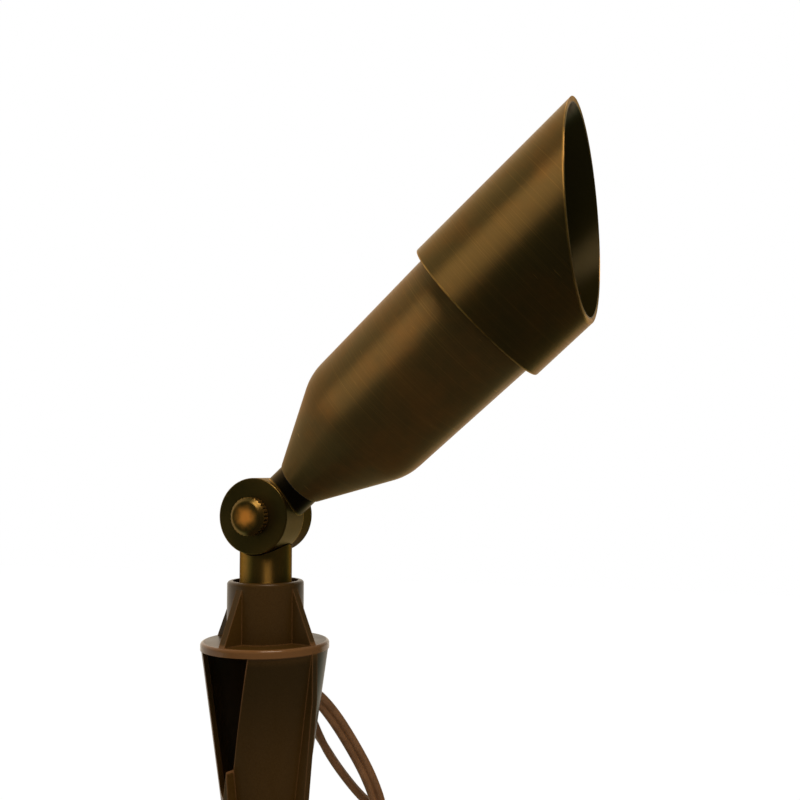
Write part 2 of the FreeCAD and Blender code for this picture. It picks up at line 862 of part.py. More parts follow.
def holder_posts():
    body = head_body("holder_posts")
    body.AllowCompound = True
    for side in BOTH:
        across = "%d * post_spread" % side
        solid(
            body, "AdditiveCylinder", "post_%d" % (side + 2), (across, "0", PLATE_FRONT),
            Radius="post_radius", Height="%s - %s" % (HOLDER_BACK, PLATE_FRONT),
        )
        solid(
            body, "AdditiveCylinder", "rivet_%d" % (side + 2), (across, "0", PLATE_BACK),
            Radius="rivet_radius", Height="plate_thickness",
        )
        solid(
            body, "SubtractiveCylinder", "bore_%d" % (side + 2),
            (across, "0", HOLDER_BACK + " - small_screw_bite - contact_gap"),
            Radius="small_screw_radius + contact_gap", Height="small_screw_bite + plate_thickness",
        )


def holder_plate():
    # a disc that sits where the cone inside the housing has narrowed to its edge
    body = head_body("holder_plate")
    edge = "%s + (plate_height - cone_boss) * %s - plate_clearance" % (INNER_START, INNER_SLOPE)
    ring(body, "plate_hole", edge, PLATE_BACK, PLATE_FRONT)
    for side in BOTH:
        solid(
            body, "SubtractiveCylinder", "rivet_hole_%d" % (side + 2),
            ("%d * post_spread" % side, "0", PLATE_BACK),
            Radius="rivet_radius + contact_gap", Height="plate_thickness",
        )


def holder_leads():
    body = head_body("holder_leads")
    body.AllowCompound = True
    for side in BOTH:
        solid(
            body, "AdditiveCylinder", "wire_%d" % (side + 2), ("0", "%d * pin_spread" % side, SPLICE_TOP),
            Radius="lead_radius", Height="%s + contact_inset - %s" % (HOLDER_BACK, SPLICE_TOP),
        )


def lead_splices():
    body = head_body("lead_splices")
    body.AllowCompound = True
    for side in BOTH:
        solid(
            body, "AdditiveCylinder", "sleeve_%d" % (side + 2),
            ("0", "%d * pin_spread" % side, SPLICE_TOP + " - splice_length"),
            Radius="splice_radius", Height="splice_length",
        )


# Cord


def plain(name, shape):
    feature = doc.addObject("Part::Feature", name)
    feature.Label = name
    feature.Shape = shape
    nodes.append(feature)
    return feature


def arc_between(start, corner, end):
    # the arc from start to end, both as far from the corner, that its two runs touch
    middle = (start + end) / 2
    reach = corner - middle
    half_chord = (end - start).Length / 2
    bulge = half_chord * math.tan(math.atan2(reach.Length, half_chord) / 2)
    return Part.Arc(start, middle + reach.normalize() * bulge, end)


def tube(name, points):
    points = [FreeCAD.Vector(*point) for point in points]
    edges, radii = [], []
    last = points[0]
    for before, corner, after in zip(points, points[1:], points[2:]):
        back, ahead = before - corner, after - corner
        trim = ARC_SHARE * min(back.Length, ahead.Length)
        radii.append(trim * math.tan(back.getAngle(ahead) / 2))
        start = corner + back.normalize() * trim
        end = corner + ahead.normalize() * trim
        edges.append(Part.LineSegment(last, start).toShape())
        edges.append(arc_between(start, corner, end).toShape())
        last = end
    edges.append(Part.LineSegment(last, points[-1]).toShape())
    path = Part.Wire(edges)
    shape = swept(path, points[0], points[1] - points[0])
    length = path.Length
    ratio = shape.Volume / (math.pi * (size("cord_width") / 2) ** 2 * length)
    print(name, "length %.1f, volume over section times length %.4f" % (length, ratio))
    print(name, "radii", ", ".join("%.1f" % radius for radius in radii))
    plain(name, shape)
    return length


def swept(path, start, direction):
    section = Part.Wire([Part.makeCircle(size("cord_width") / 2, start, direction)])
    return path.makePipeShell([section], True, False)


def coil_place(turn):
    # where the winding is after so many turns: in towards the climb, then out again
    pitch = size("cord_width") + size("cord_gap")
    leg = (COIL_TURNS - COIL_CLIMB) / 2
    climbed = min(max((turn - leg) / COIL_CLIMB, 0), 1)
    inwards = min(turn, leg) - max(turn - leg - COIL_CLIMB, 0)
    inwards += COIL_CLIMB * climbed * (1 - climbed)
    radius = size("coil_radius") - pitch * inwards
    angle = math.pi * (1 + 2 * turn)
    depth = pitch * climbed**2 * (3 - 2 * climbed)
    return FreeCAD.Vector(radius * math.cos(angle), depth, radius * math.sin(angle))


def coil_heading(turn):
    step = 1e-4
    ahead = coil_place(turn + step) - coil_place(turn - step)
    if turn in (0, COIL_TURNS):  # the ends are square to the runs that they meet
        angle = math.pi * (1 + 2 * turn)
        ahead = FreeCAD.Vector(-math.sin(angle), 0, math.cos(angle))
    return ahead.normalize()


def coil_shape():
    steps = int(COIL_TURNS * 4)
    turns = [COIL_TURNS * i / steps for i in range(steps + 1)]
    edges = []
    for first, second in zip(turns, turns[1:]):
        start, end = coil_place(first), coil_place(second)
        out, into = coil_heading(first), coil_heading(second)
        chord = end - start
        bend = 1 - out.dot(into)
        along = chord.dot(out + into)
        reach = (math.sqrt(along**2 + 2 * bend * chord.dot(chord)) - along) / (2 * bend)
        corner, next_corner = start + out * reach, end - into * reach
        middle = (corner + next_corner) / 2
        edges.append(arc_between(start, corner, middle).toShape())
        edges.append(arc_between(middle, next_corner, end).toShape())
    path = Part.Wire(edges)
    return swept(path, coil_place(0), coil_heading(0)), path


def coil_gap(path):
    # the least distance between places on the coil that are more than a third of a turn apart
    count = int(COIL_TURNS * 60)
    places = path.discretize(Number=count + 1)
    apart = count // int(COIL_TURNS * 3)
    least = min(
        (places[i] - places[j]).Length for i in range(count + 1) for j in range(i + apart, count + 1)
    )
    return least - size("cord_width")


def coil_placement():
    # the coil stands in a plane turned about Z, its first place where the lead ends
    turn = FreeCAD.Rotation(Z, size("coil_plane_turn"))
    end = FreeCAD.Vector(*LEAD_ROUTE[-1])
    return FreeCAD.Placement(end - turn.multVec(coil_place(0)), turn)


def cord():
    lengths = [tube("cord_lead", LEAD_ROUTE), tube("cord_return", RETURN_ROUTE)]
    shape, path = coil_shape()
    lengths.append(path.Length)
    coil = plain("cord_coil", shape)
    coil.Placement = coil_placement()
    print("cord_coil least gap to itself %.2f" % coil_gap(path))
    finish = coil.Placement.multVec(coil_place(COIL_TURNS))
    print("coil's end", finish, "return starts", RETURN_ROUTE[0])
    print("cord length %.1f" % sum(lengths))


def cord_tie():
    # a band round the bundle, square to the winding
    angle = math.pi * (1 + 2 * TIE_TURN)
    middle = (coil_place(TIE_TURN) + coil_place(TIE_TURN + 1)) / 2
    place = FreeCAD.Vector(middle.x, 0, middle.z)
    lean = FreeCAD.Rotation(Y, -math.degrees(angle))
    body = placed_body("cord_tie", coil_placement() * FreeCAD.Placement(place, lean))
    pitch = "(cord_width + cord_gap)"
    inner = "(%s + cord_width + 2 * tie_gap)" % pitch
    outer = "(%s + 2 * tie_thickness)" % inner
    for kind, name, wide, long in (
        ("AdditiveBox", "band", outer, "tie_width"),
        ("SubtractiveBox", "hole", inner, "2 * tie_width"),
    ):
        base = ("-%s / 2" % wide, "(%s - %s) / 2" % (pitch, wide), "-%s / 2" % long)
        solid(body, kind, name, base, Length=wide, Width=wide, Height=long)


def cord_ends():
    end, before = FreeCAD.Vector(*RETURN_ROUTE[-1]), FreeCAD.Vector(*RETURN_ROUTE[-2])
    direction = (end - before).normalize()
    aside = direction.cross(Z).normalize()
    spread = (size("cord_width") - size("cord_thickness")) / 2
    wires = [
        Part.makeCylinder(size("bare_radius"), size("bare_length"), end + aside * spread * side, direction)
        for side in BOTH
    ]
    plain("cord_ends", Part.makeCompound(wires))


def check_and_write():
    doc.recompute()
    for item in doc.Objects:
        if "Invalid" in item.State or "Error" in item.State:
            raise ValueError("%s is %s" % (item.Label, item.State))
    os.makedirs("parts", exist_ok=True)
    for node in nodes:
        if node.Shape.isNull() or not node.Shape.isValid() or not node.Shape.Solids:
            raise ValueError("%s has no valid shape" % node.Label)
        node.Shape.exportStep("parts/%s.step" % node.Label)
        print("%s: %d solid(s), %.0f mm3" % (node.Label, len(node.Shape.Solids), node.Shape.Volume))
    print(len(nodes), "nodes")


ground_spike()
stem_knuckle()
stem_grommet()
stem_lead()
head_knuckle()
knuckle_gasket()
screw_washer()
thumb_screw()
neck_gasket()
neck_locknut()
neck_lead()
housing()
collar_ring("collar_ring_rear", "ring_first")
collar_ring("collar_ring_front", "ring_second")
lens_gasket()
lens()
shroud()
lamp_reflector()
lamp_cover_glass()
lamp_capsule()
lamp_base()
lamp_pins()
lamp_holder()
holder_contacts()
holder_screws()
holder_posts()
holder_plate()
holder_leads()
lead_splices()
cord()
cord_tie()
cord_ends()
check_and_write()
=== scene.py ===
import math
import bpy
from mathutils import Euler, Matrix, Vector


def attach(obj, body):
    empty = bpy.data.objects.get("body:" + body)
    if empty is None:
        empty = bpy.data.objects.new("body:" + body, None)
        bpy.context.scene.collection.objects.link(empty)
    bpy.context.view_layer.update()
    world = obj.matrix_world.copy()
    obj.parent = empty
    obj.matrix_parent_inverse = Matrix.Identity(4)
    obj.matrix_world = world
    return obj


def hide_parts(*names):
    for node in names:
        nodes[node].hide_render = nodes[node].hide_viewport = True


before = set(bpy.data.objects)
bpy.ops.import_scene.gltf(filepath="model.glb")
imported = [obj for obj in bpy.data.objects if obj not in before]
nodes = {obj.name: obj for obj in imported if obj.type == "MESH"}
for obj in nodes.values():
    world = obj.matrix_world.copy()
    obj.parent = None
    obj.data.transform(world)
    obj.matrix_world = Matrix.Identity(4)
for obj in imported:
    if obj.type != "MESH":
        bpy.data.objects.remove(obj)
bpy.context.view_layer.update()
scene = bpy.context.scene

# the head leans up from level about the knuckle; its own z runs along the lamp's axis
headLean = math.radians(40.85)
knuckle = Vector((0, 0, 0.0537))
headTurn = (0, math.radians(90) - headLean, 0)
headPlace = Matrix.Translation(knuckle) @ Matrix.Rotation(headTurn[1], 4, "Y")


# camera, at the photograph's place

viewSettings = {
    "place": (0.2032, -0.3683, 0.0703),
    "look": (-0.363, 0.929, 0.074),
    "roll": -0.11,        # degrees
    "lens": 45.27,        # mm
    "sensor": 36,
}


def makeCamera(settings):
    camera = bpy.data.objects.new("camera", bpy.data.cameras.new("camera"))
    scene.collection.objects.link(camera)
    ahead = Vector(settings["look"]).normalized()
    across = ahead.cross(Vector((0, 0, 1))).normalized()
    up = across.cross(ahead)
    turn = Matrix((across, up, -ahead)).transposed().to_4x4()
    roll = Matrix.Rotation(math.radians(settings["roll"]), 4, "Z")
    camera.matrix_world = Matrix.Translation(settings["place"]) @ turn @ roll
    camera.data.lens = settings["lens"]
    camera.data.sensor_width = settings["sensor"]
    camera.data.clip_start = 0.01
    scene.camera = camera


makeCamera(viewSettings)
scene.view_settings.view_transform = "Standard"
print("camera placed")


# small helpers for the node trees

def startFinish(name):
    finish = bpy.data.materials.new(name)
    finish.use_nodes = True
    tree = finish.node_tree
    surface = tree.nodes["Principled BSDF"]
    return finish, tree, surface


def add(tree, kind, settings=None, inputs=None):
    node = tree.nodes.new(kind)
    for key, value in (settings or {}).items():
        setattr(node, key, value)
    for key, value in (inputs or {}).items():
        if isinstance(value, bpy.types.NodeSocket):
            tree.links.new(value, node.inputs[key])
        else:
            node.inputs[key].default_value = value
    return node


def link(tree, source, target):
    tree.links.new(source, target)


def objectPlace(tree, origin=(0, 0, 0), turn=(0, 0, 0), scale=(1, 1, 1)):
    # coordinates in metres, measured from origin along turned axes
    place = add(tree, "ShaderNodeTexCoord").outputs["Object"]
    own = add(tree, "ShaderNodeMapping", {"vector_type": "TEXTURE"}, {
        "Vector": place, "Location": origin, "Rotation": turn})
    return add(tree, "ShaderNodeMapping", None, {"Vector": own.outputs[0], "Scale": scale}).outputs[0]


def noise(tree, place, scale, detail=3, roughness=0.5):
    return add(tree, "ShaderNodeTexNoise", None, {
        "Vector": place, "Scale": scale, "Detail": detail, "Roughness": roughness}).outputs["Fac"]


def ramp(tree, value, low, high, out=(0, 1)):
    return add(tree, "ShaderNodeMapRange", {"interpolation_type": "SMOOTHSTEP"}, {
        "Value": value, "From Min": low, "From Max": high, "To Min": out[0], "To Max": out[1]}).outputs["Result"]


def mixColour(tree, share, first, second):
    node = add(tree, "ShaderNodeMix", {"data_type": "RGBA"})
    for key, value in ((0, share), (6, first), (7, second)):
        if isinstance(value, bpy.types.NodeSocket):
            link(tree, value, node.inputs[key])
        elif key == 0:
            node.inputs[key].default_value = value
        else:
            node.inputs[key].default_value = (*value, 1)
    return node.outputs[2]


def mixLevel(tree, share, first, second):
    return add(tree, "ShaderNodeMix", {"data_type": "FLOAT"}, {0: share, 2: first, 3: second}).outputs[0]


def sums(tree, operation, first, second):
    return add(tree, "ShaderNodeMath", {"operation": operation}, {0: first, 1: second}).outputs[0]


def vectorSums(tree, operation, *parts):
    node = add(tree, "ShaderNodeVectorMath", {"operation": operation}, dict(enumerate(parts)))
    return node.outputs["Value" if operation in ("LENGTH", "DOT_PRODUCT") else "Vector"]


def fromAxis(tree, origin=(0, 0, 0), turn=(0, 0, 0), across=(1, 1, 0)):
    # distance from the axis through origin; across keeps the two directions square to it
    return vectorSums(tree, "LENGTH", objectPlace(tree, origin, turn, across))


def bump(tree, surface, height, distance, strength):
    node = add(tree, "ShaderNodeBump", None, {"Height": height, "Distance": distance, "Strength": strength})
    link(tree, node.outputs[0], surface.inputs["Normal"])


def rubbedAndLitEdges(tree, radius):
    # 1 on edges that handling has rubbed, 0 on flat ground; on the spike and on the head's knuckle these edges are
    # also a painted highlight
    soft = add(tree, "ShaderNodeBevel", {"samples": 6}, {"Radius": radius}).outputs[0]
    hard = add(tree, "ShaderNodeNewGeometry").outputs["Normal"]
    return ramp(tree, vectorSums(tree, "DOT_PRODUCT", soft, hard), 0.985, 0.8)


def dress(finish, *names):
    for name in names:
        nodes[name].data.materials.clear()
        nodes[name].data.materials.append(finish)


# supply cord: a flat two-core lead from the grommet to the put-away coil and back to the slot

cordSettings = {
    # points in millimetres
    "leadPoints": [
        (0, 0, 10.3), (0, 0, 4.3), (1, 1.75, -3), (3.6, 6.1, -10.2), (7, 12.7, -15.7), (12, 21.7, -21.8),
        (17.5, 28.9, -32.2), (23.9, 34.3, -45.5), (29.5, 38.6, -58.5), (33.4, 41.3, -71.5), (35, 42.5, -85.5),
        (36.2, 42.6, -99.5), (35.9, 42.6, -114),
    ],
    "returnPoints": [
        (56, 61.9, -86.6), (43.6, 55.4, -84.2), (32.5, 49.7, -78.5), (23.9, 45.2, -70.5), (16.7, 40.6, -60.1),
        (11.4, 36, -49.8), (7, 31.8, -38.8), (2.6, 29.4, -28.5), (1.3, 25.6, -18.3), (1, 20, -11.3),
    ],
    "coilStart": (35.9, 42.6, -128),
    "coilTurn": 28.9,       # degrees about Z
    "coilRadius": 41.4,
    "coilPitch": 7.2,
    "coilTurns": 2.75,
    "climb": 0.5,           # share of a turn in which the winding climbs to its second layer
    "pointsPerTurn": 16,
    # metres from here on
    "length": 0.914,
    "width": 0.0066,
    "coreRadius": 0.0017,
    "coreSpread": 0.0016,
    "ribs": 13,             # points round each core
    "dark": (0.24, 0.112, 0.04),
    "pale": (0.34, 0.165, 0.062),
    "speck": (0.4, 0.21, 0.095),
    "clouds": 90,           # scales of the colour's clouds and of the grain
    "grain": 2600,
    "grainDepth": 0.00004,
    "roughness": (0.42, 0.55),
    # which way the flat cord's wide side lies, by share of the length
    "wideSide": [
        (0.0, (1, 0, 0)), (0.03, (1, 0, 0)), (0.06, (0.8755, 0.4831, 0)), (0.1, (0.8755, 0.4831, 0)),
        (0.17, (-0.4831, 0.8755, 0)), (0.95, (-0.4831, 0.8755, 0)), (0.985, (-1, 0, 0)), (1.0, (-1, 0, 0)),
    ],
}


def coilPoints(settings):
    # one layer winds inwards, the cord climbs, and the second layer winds out again
    climb, pitch = settings["climb"], settings["coilPitch"]
    leg = (settings["coilTurns"] - climb) / 2
    steps = round(settings["coilTurns"] * settings["pointsPerTurn"])
    turned = Matrix.Rotation(math.radians(settings["coilTurn"]), 3, "Z")
    centre = Vector(settings["coilStart"]) + turned @ Vector((settings["coilRadius"], 0, 0))
    points = []
    for i in range(steps + 1):
        turn = settings["coilTurns"] * i / steps
        climbed = min(max((turn - leg) / climb, 0), 1)
        inwards = min(turn, leg) - max(turn - leg - climb, 0) + climb * climbed * (1 - climbed)
        radius = settings["coilRadius"] - pitch * inwards
        angle = math.pi * (1 + 2 * turn)
        depth = pitch * climbed ** 2 * (3 - 2 * climbed)
        points.append(centre + turned @ Vector((radius * math.cos(angle), depth, radius * math.sin(angle))))
    return points


def smoothLine(name, points):
    # the points are the control points of one NURBS spline, and its own line is read back
    curve = bpy.data.curves.new(name, "CURVE")
    curve.dimensions = "3D"
    curve.resolution_u = 7
    spline = curve.splines.new("NURBS")
    spline.points.add(len(points) - 1)
    for place, point in zip(spline.points, points):
        place.co = (*point, 1)
    spline.order_u = 3
    spline.use_endpoint_u = True
    guide = bpy.data.objects.new(name, curve)
    return [v.co.copy() for v in bpy.data.meshes.new_from_object(guide).vertices]


def lineFrames(line, wideSide):
    # at each point of the line, the directions of the cord's wide and thin sides
    run = [0]
    for a, b in zip(line, line[1:]):
        run.append(run[-1] + (b - a).length)
    frames = []
    for i, point in enumerate(line):
        along = (line[min(i + 1, len(line) - 1)] - line[max(i - 1, 0)]).normalized()
        share = run[i] / run[-1]
        for (low, before), (high, after) in zip(wideSide, wideSide[1:]):
            if share <= high:
                break
        part = min(max((share - low) / (high - low), 0), 1)
        part = part * part * (3 - 2 * part)
        wide = Vector(before).slerp(Vector(after), part)
        wide = (wide - along * wide.dot(along)).normalized()
        frames.append((point, wide, along.cross(wide)))
    return frames, run[-1]


def sweep(name, frames, profile):
    count = len(profile)
    corners = [point + wide * x + thin * y for point, wide, thin in frames for x, y in profile]
    faces = [
        (i * count + j, i * count + (j + 1) % count, (i + 1) * count + (j + 1) % count, (i + 1) * count + j)
        for i in range(len(frames) - 1) for j in range(count)
    ]
    faces.append(tuple(reversed(range(count))))
    faces.append(tuple(range(len(corners) - count, len(corners))))
    return makePiece(name, corners, faces)


def makePiece(name, corners, faces, smooth=True):
    mesh = bpy.data.meshes.new(name)
    mesh.from_pydata(corners, [], faces)
    mesh.update()
    if smooth:
        mesh.polygons.foreach_set("use_smooth", [True] * len(mesh.polygons))
    piece = bpy.data.objects.new(name, mesh)
    scene.collection.objects.link(piece)
    return piece


def twinProfile(settings):
    # two round cores that meet in a groove
    radius, spread = settings["coreRadius"], settings["coreSpread"]
    half = math.acos(-spread / radius)
    count = settings["ribs"]
    right = [-half + 2 * half * i / count for i in range(count + 1)]
    lobe = [(spread + radius * math.cos(a), radius * math.sin(a)) for a in right]
    return lobe[:-1] + [(-x, -y) for x, y in lobe[:-1]]


def makeCordFinish(settings):
    finish, tree, surface = startFinish("cordSheath")
    place = objectPlace(tree)
    grain = noise(tree, place, settings["grain"], 2)
    clouds = noise(tree, place, settings["clouds"], 3)
    colour = mixColour(tree, ramp(tree, clouds, 0.3, 0.7), settings["dark"], settings["pale"])
    colour = mixColour(tree, ramp(tree, grain, 0.55, 0.75), colour, settings["speck"])
    link(tree, colour, surface.inputs["Base Color"])
    link(tree, ramp(tree, clouds, 0.3, 0.7, settings["roughness"]), surface.inputs["Roughness"])
    bump(tree, surface, grain, settings["grainDepth"], 0.5)
    return finish


def makeCord(settings):
    points = settings["leadPoints"] + coilPoints(settings) + settings["returnPoints"]
    line = smoothLine("cordRoute", [Vector(p) / 1000 for p in points])
    frames, length = lineFrames(line, settings["wideSide"])
    cord = sweep("supplyCord", frames, twinProfile(settings))
    cord.data.materials.append(makeCordFinish(settings))
    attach(cord, "spike")
    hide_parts("cord_lead", "cord_coil", "cord_return")
    print("cord laid, %.3f m" % length)


makeCord(cordSettings)


# aged brass: dark oxide with turning marks round each piece's own axis, rubbed bright on the edges, with painted
# highlights on some edges and rims and painted shade on some parts

brassSettings = {
    "brown": (0.24, 0.127, 0.036),
    "olive": (0.16, 0.105, 0.034),
    "bright": (0.66, 0.38, 0.1),
    "edge": (1, 0.84, 0.64),    # what a grazing look takes on
    "patches": 38,              # scales of the colour's patches and clouds
    "clouds": 9,
    "handling": 160,            # scale of the uneven rubbing
    "markSpacing": 0.00025,     # metres between turning marks
    "markScale": 12,            # how soon a mark ends as it runs round
    "markShare": 0.22,          # how bright the marks and the deeper scratches are
    "markDepth": 0.000012,
    "scratchScale": (85, 85, 1000),
    "scratchShare": 0.4,
    "wearAndLitShare": 1.0,                # how much of each edge is rubbed bright; above 1 it also paints a highlight
    "wornAndLitWidth": 0.0008,         # how wide
    "metal": 0.9,
    "brushed": 1,               # how far highlights stretch across the turning marks
    "roughness": (0.44, 0.56),
}

shroudSettings = dict(
    brassSettings,
    rims=(0.1205, 0.17535, 0.7997),     # rear rim, mouth on the axis, and the mouth's slope
    # how bright the shroud's rims are made: rubbed metal and a painted highlight together
    rimShare=0.65,
    bore=0.0313,
    boreColour=(0.036, 0.03, 0.006),
    boreMetal=0.5,
)
housingSettings = dict(brassSettings, metal=0.72)
# painted shade: a darker copy of the brass for the drum, knob and washer, whose faces lie in dim light
drumSettings = dict(
    brassSettings, brown=(0.15, 0.09, 0.022), olive=(0.11, 0.075, 0.02), brushed=0.35, roughness=(0.34, 0.46))
headKnuckleSettings = dict(
    drumSettings,
    # edges brighter than wear alone: a painted highlight on the drum's side by the neck
    wearAndLitShare=2.2,
    neckFrom=0.0157,                    # the neck starts outside the drum
    # painted shade: the neck between the drum and the cone, darkened where it lies in shadow
    neckShade=(0.02, 0.013, 0.006),
)
knobSettings = dict(
    drumSettings,
    thumbed=0.0062,                     # radius that the thumb rubs bright
    thumbedColour=(0.85, 0.34, 0.05),
    thumbedMetal=0.35,
    thumbedScale=420,
    thumbedBlur=0.003,
)
# painted highlight: a paler copy of the brass for the stem, to brighten its lamp stripe
stemSettings = dict(
    brassSettings,
    brown=(0.37, 0.21, 0.046), olive=(0.28, 0.175, 0.044), edge=(0.3, 0.3, 0.3), roughness=(0.5, 0.6),
    drumWithin=0.0154,                  # the far half of the drum, given the same painted shade as the near one
    drumShade=(0.09, 0.062, 0.017),
    drumShare=0.75,
)


def rubbedAndLitPlaces(tree, settings, place):
    # 1 where edges and rims have been rubbed down to bright metal; the shroud's bright rims are also a painted
    # highlight, where the rims catch the lamp
    wearAndLitShare = settings["wearAndLitShare"]
    handled = ramp(tree, noise(tree, place, settings["handling"]), 0.3, 0.6, (0.35 * wearAndLitShare, wearAndLitShare))
    wearAndHighlight = rubbedAndLitEdges(tree, settings["wornAndLitWidth"])
    if "rims" in settings:
        # wear and painted highlight on the shroud's rear rim and mouth
        rear, mouth, slope = settings["rims"]
        shown = (0, settings["rimShare"])
        parts = add(tree, "ShaderNodeSeparateXYZ", None, {0: place}).outputs
        front = sums(tree, "ADD", parts["Z"], sums(tree, "MULTIPLY", parts["X"], slope))
        wearAndHighlight = sums(tree, "MAXIMUM", wearAndHighlight, ramp(tree, parts["Z"], rear + 0.0009, rear + 0.0003, shown))
        wearAndHighlight = sums(tree, "MAXIMUM", wearAndHighlight, ramp(tree, front, mouth - 0.0008, mouth - 0.0003, shown))
    return sums(tree, "MULTIPLY", wearAndHighlight, handled)


def ownPlaces(tree, settings, place, turn, colour):
    # the thumbed knob, the shroud's bore, and the painted shade on the neck and on the far half of the drum
    metal = None
    if "thumbed" in settings:
        uneven = sums(tree, "SUBTRACT", noise(tree, place, settings["thumbedScale"]), 0.5)
        away = fromAxis(tree, knuckle, turn)
        spot = sums(tree, "ADD", away, sums(tree, "MULTIPLY", uneven, settings["thumbedBlur"]))
        rubbed = ramp(tree, spot, settings["thumbed"], settings["thumbed"] * 0.1)
        colour = mixColour(tree, rubbed, colour, settings["thumbedColour"])
        metal = ramp(tree, rubbed, 0, 1, (settings["metal"], settings["thumbedMetal"]))
    if "bore" in settings:
        away = fromAxis(tree, knuckle, turn)
        inside = ramp(tree, away, settings["bore"] + 0.0006, settings["bore"] + 0.0001)
        colour = mixColour(tree, inside, colour, settings["boreColour"])
        metal = ramp(tree, inside, 0, 1, (settings["metal"], settings["boreMetal"]))
    if "neckFrom" in settings:
        # painted shade on the neck
        away = fromAxis(tree, knuckle, turn)
        neck = ramp(tree, away, settings["neckFrom"], settings["neckFrom"] + 0.0006)
        colour = mixColour(tree, neck, colour, settings["neckShade"])
    if "drumWithin" in settings:
        # this finish has the stem's axis, and the drum lies about y
        away = fromAxis(tree, knuckle, turn, (1, 0, 1))
        edge = settings["drumWithin"]
        # painted shade: the stem's half of the drum darkened to the drum's darker copy
        share = ramp(tree, away, edge + 0.0008, edge + 0.0002, (0, settings["drumShare"]))
        colour = mixColour(tree, share, colour, settings["drumShade"])
    return colour, metal


def brushAcross(tree, surface, settings, turn):
    # highlights stretch across the marks, which run round the piece's axis
    surface.inputs["Anisotropic"].default_value = settings["brushed"]
    axis = Euler(turn).to_matrix() @ Vector((0, 0, 1))
    out = vectorSums(tree, "SUBTRACT", objectPlace(tree), knuckle)
    way = add(tree, "ShaderNodeVectorTransform", {
        "vector_type": "VECTOR", "convert_from": "OBJECT", "convert_to": "WORLD",
    }, {0: vectorSums(tree, "CROSS_PRODUCT", axis, out)}).outputs[0]
    normal = add(tree, "ShaderNodeNewGeometry").outputs["Normal"]
    across = vectorSums(tree, "NORMALIZE", vectorSums(tree, "CROSS_PRODUCT", way, normal))
    link(tree, across, surface.inputs["Tangent"])


def makeAgedBrass(name, settings, turn):
    # every brass piece is turned about an axis through the knuckle
    finish, tree, surface = startFinish(name)
    place = objectPlace(tree, knuckle, turn)
    patches = noise(tree, place, settings["patches"], 4, 0.6)
    clouds = noise(tree, place, settings["clouds"], 2)
    markScale = (settings["markScale"], settings["markScale"], 1 / settings["markSpacing"])
    marks = noise(tree, objectPlace(tree, knuckle, turn, markScale), 1, 2, 0.6)
    scratches = noise(tree, objectPlace(tree, knuckle, turn, settings["scratchScale"]), 1, 2, 0.4)
    tone = sums(tree, "ADD", sums(tree, "MULTIPLY", patches, 0.6), sums(tree, "MULTIPLY", clouds, 0.4))
    colour = mixColour(tree, ramp(tree, tone, 0.4, 0.6), settings["olive"], settings["brown"])
    for share in (
        ramp(tree, marks, 0.5, 0.8, (0, settings["markShare"])),
        ramp(tree, scratches, 0.74, 0.8, (0, settings["scratchShare"])),
        rubbedAndLitPlaces(tree, settings, place),
    ):
        colour = mixColour(tree, share, colour, settings["bright"])
    colour, metal = ownPlaces(tree, settings, place, turn, colour)
    link(tree, colour, surface.inputs["Base Color"])
    surface.inputs["Metallic"].default_value = settings["metal"]
    if metal is not None:
        link(tree, metal, surface.inputs["Metallic"])
    surface.inputs["Specular Tint"].default_value = (*settings["edge"], 1)
    rough = sums(tree, "ADD", sums(tree, "MULTIPLY", marks, 0.5), sums(tree, "MULTIPLY", patches, 0.5))
    link(tree, ramp(tree, rough, 0.35, 0.65, settings["roughness"]), surface.inputs["Roughness"])
    brushAcross(tree, surface, settings, turn)
    bump(tree, surface, marks, settings["markDepth"], 0.7)
    return finish


def dressBrass():
    aboutY = (math.radians(90), 0, 0)       # the drum and knob are turned about the clamp screw
    dress(makeAgedBrass("shroudBrass", shroudSettings, headTurn), "shroud")
    dress(makeAgedBrass("housingBrass", housingSettings, headTurn), "housing")
    dress(makeAgedBrass("drumBrass", headKnuckleSettings, aboutY), "head_knuckle")
    dress(makeAgedBrass("stemBrass", stemSettings, (0, 0, 0)), "stem_knuckle")
    dress(makeAgedBrass("knobBrass", knobSettings, aboutY), "thumb_screw")
    dress(makeAgedBrass("washerBrass", drumSettings, aboutY), "screw_washer")
    print("brass dressed")


dressBrass()


# ground spike: semi-gloss brown moulding

spikeSettings = {
    "colour": (0.06, 0.03, 0.004),
    "dusty": (0.078, 0.04, 0.008),
    "speck": (0.1, 0.056, 0.016),
    # painted shadow colour, laid on the spike just under the flange
    "flangeShadow": (0.008, 0.008, 0.001),
    # paler colour for the painted highlight on the flange's rim and for the rubbed edges
    "edge": (0.23, 0.115, 0.045),
    "flange": (0.0245, 0.0032),     # where the flange's rim starts, and its thickness
    "shade": (-0.05, -0.004),       # heights that the painted shadow under the flange lies between
    "rimShare": 0.75,               # how much paler the rim is, a painted highlight, and how much smoother
    "rimPolish": 0.35,
    "wornAndLitWidth": 0.001,
    "flow": (60, 60, 9),            # long streaks down the spike
    "dust": 35,
    "grain": 1900,
    "grainDepth": 0.00002,
    "roughness": (0.27, 0.4),
    "gloss": 0.25,
}


